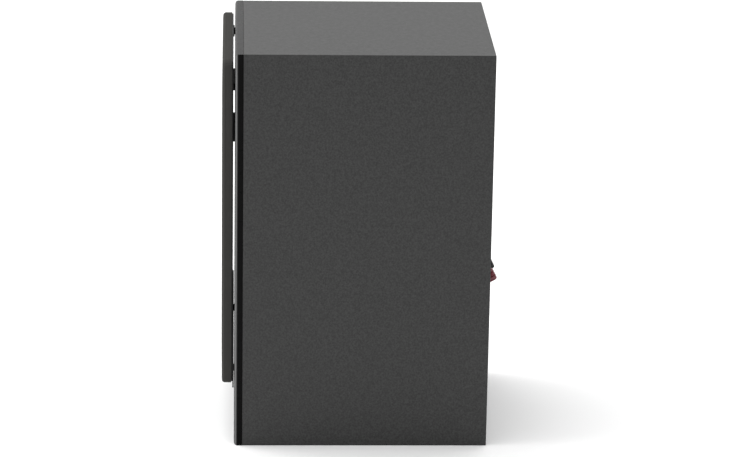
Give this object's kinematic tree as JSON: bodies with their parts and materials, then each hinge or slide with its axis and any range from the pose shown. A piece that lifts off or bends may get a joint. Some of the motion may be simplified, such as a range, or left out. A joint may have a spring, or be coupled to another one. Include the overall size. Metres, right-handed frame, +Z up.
{
  "type": "bookshelf speaker",
  "caption": "Three-way bookshelf speaker: black vinyl cabinet, moulded front baffle, pull-off cloth grille, dome tweeters, woofer, rear port and slanted terminal cup.",
  "frame": {"origin": "on the resting plane, under the centre of the overall box", "axes": "+Z up, -Y towards the grille, +X to the listener's right when facing the grille"},
  "size_m": [0.178, 0.2315, 0.335],
  "materials": {
    "vinyl_wrap": "fine pebbled black vinyl on MDF",
    "mdf": "raw MDF",
    "moulded_baffle": "semi-gloss moulding",
    "black_plastic": "satin moulded plastic",
    "grille_cloth": "stretched knitted grille cloth",
    "black_steel": "black coated steel",
    "zinc_steel": "zinc plated",
    "ferrite": "sintered ferrite",
    "rubber": "soft butyl rubber",
    "cone": "pressed fibre cone",
    "dome_silk": "coated silk dome",
    "spider_cloth": "resin-dipped cloth",
    "copper": "enamelled copper winding",
    "red_plastic": "red moulded plastic",
    "gold_plate": "gold plated",
    "circuit_board": "green circuit board",
    "film_capacitor": "wrapped film",
    "cement": "ceramic resistor body",
    "wadding": "polyester wadding",
    "wire": "insulated lead"
  },
  "bodies": {
    "cabinet": {"cabinet_left_panel": "vinyl_wrap", "cabinet_right_panel": "vinyl_wrap", "cabinet_top_panel": "vinyl_wrap", "cabinet_bottom_panel": "vinyl_wrap", "cabinet_back_panel": "vinyl_wrap", "sub_baffle": "mdf", "window_brace": "mdf", "front_baffle": "moulded_baffle", "treble_plate": "black_plastic", "port_tube": "black_plastic", "terminal_cup": "black_plastic", "woofer_basket": "black_steel", "woofer_screw_1": "black_steel", "woofer_screw_2": "black_steel", "woofer_screw_3": "black_steel", "woofer_screw_4": "black_steel", "tweeter_guard": "black_steel", "super_tweeter_guard": "black_steel", "woofer_top_plate": "zinc_steel", "woofer_pole_plate": "zinc_steel", "tweeter_top_plate": "zinc_steel", "tweeter_pole_plate": "zinc_steel", "super_tweeter_top_plate": "zinc_steel", "super_tweeter_pole_plate": "zinc_steel", "red_post_nut": "zinc_steel", "black_post_nut": "zinc_steel", "woofer_magnet": "ferrite", "tweeter_magnet": "ferrite", "super_tweeter_magnet": "ferrite", "woofer_gasket": "rubber", "woofer_inductor": "copper", "tweeter_inductor": "copper", "red_post_stud": "gold_plate", "black_post_stud": "gold_plate", "crossover_board": "circuit_board", "woofer_capacitor": "film_capacitor", "tweeter_capacitor": "film_capacitor", "super_tweeter_capacitor": "film_capacitor", "resistor": "cement", "damping_pad": "wadding", "input_lead": "wire", "woofer_lead": "wire", "treble_lead": "wire"},
    "woofer_cone": {"woofer_cone": "cone", "woofer_dust_cap": "cone", "woofer_voice_coil": "copper", "woofer_surround": "rubber", "woofer_spider": "spider_cloth"},
    "tweeter_dome": {"tweeter_dome": "dome_silk", "tweeter_surround": "dome_silk", "tweeter_voice_coil": "copper"},
    "super_tweeter_dome": {"super_tweeter_dome": "dome_silk", "super_tweeter_surround": "dome_silk", "super_tweeter_voice_coil": "copper"},
    "grille": {"grille_frame": "black_plastic", "grille_cloth": "grille_cloth"},
    "red_clamp": {"red_post_clamp": "gold_plate"},
    "red_knob": {"red_post_knob": "red_plastic"},
    "black_clamp": {"black_post_clamp": "gold_plate"},
    "black_knob": {"black_post_knob": "black_plastic"}
  },
  "joints": [
    {"name": "woofer_excursion", "type": "slide", "parent": "cabinet", "child": "woofer_cone", "axis": [0, -1, 0], "range_m": [-0.004, 0.004], "stiffness_N_per_m": 1000, "deforming": ["woofer_surround", "woofer_spider"]},
    {"name": "tweeter_excursion", "type": "slide", "parent": "cabinet", "child": "tweeter_dome", "axis": [0, -1, 0], "range_m": [-0.0003, 0.0003], "stiffness_N_per_m": 1500, "deforming": ["tweeter_surround"]},
    {"name": "super_tweeter_excursion", "type": "slide", "parent": "cabinet", "child": "super_tweeter_dome", "axis": [0, -1, 0], "range_m": [-0.0002, 0.0002], "stiffness_N_per_m": 1500, "deforming": ["super_tweeter_surround"]},
    {"name": "grille_pull", "type": "slide", "parent": "cabinet", "child": "grille", "axis": [0, -1, 0], "range_m": [0, 0.06]},
    {"name": "red_clamp_slide", "type": "slide", "parent": "cabinet", "child": "red_clamp", "axis": [0, 0.8829, 0.4695], "range_m": [0, 0.0035]},
    {"name": "red_knob_turn", "type": "hinge", "parent": "red_clamp", "child": "red_knob", "pos_m": [0.015, 0.10114, 0.12004], "axis": [0, 0.8829, 0.4695], "range_deg": [0, 1800]},
    {"name": "black_clamp_slide", "type": "slide", "parent": "cabinet", "child": "black_clamp", "axis": [0, 0.8829, 0.4695], "range_m": [0, 0.0035]},
    {"name": "black_knob_turn", "type": "hinge", "parent": "black_clamp", "child": "black_knob", "pos_m": [-0.015, 0.10114, 0.12004], "axis": [0, 0.8829, 0.4695], "range_deg": [0, 1800]}
  ],
  "couplings": [
    {"joint": "red_knob_turn", "follows": "red_clamp_slide", "rad_per_m": 8975.9},
    {"joint": "black_knob_turn", "follows": "black_clamp_slide", "rad_per_m": 8975.9}
  ]
}
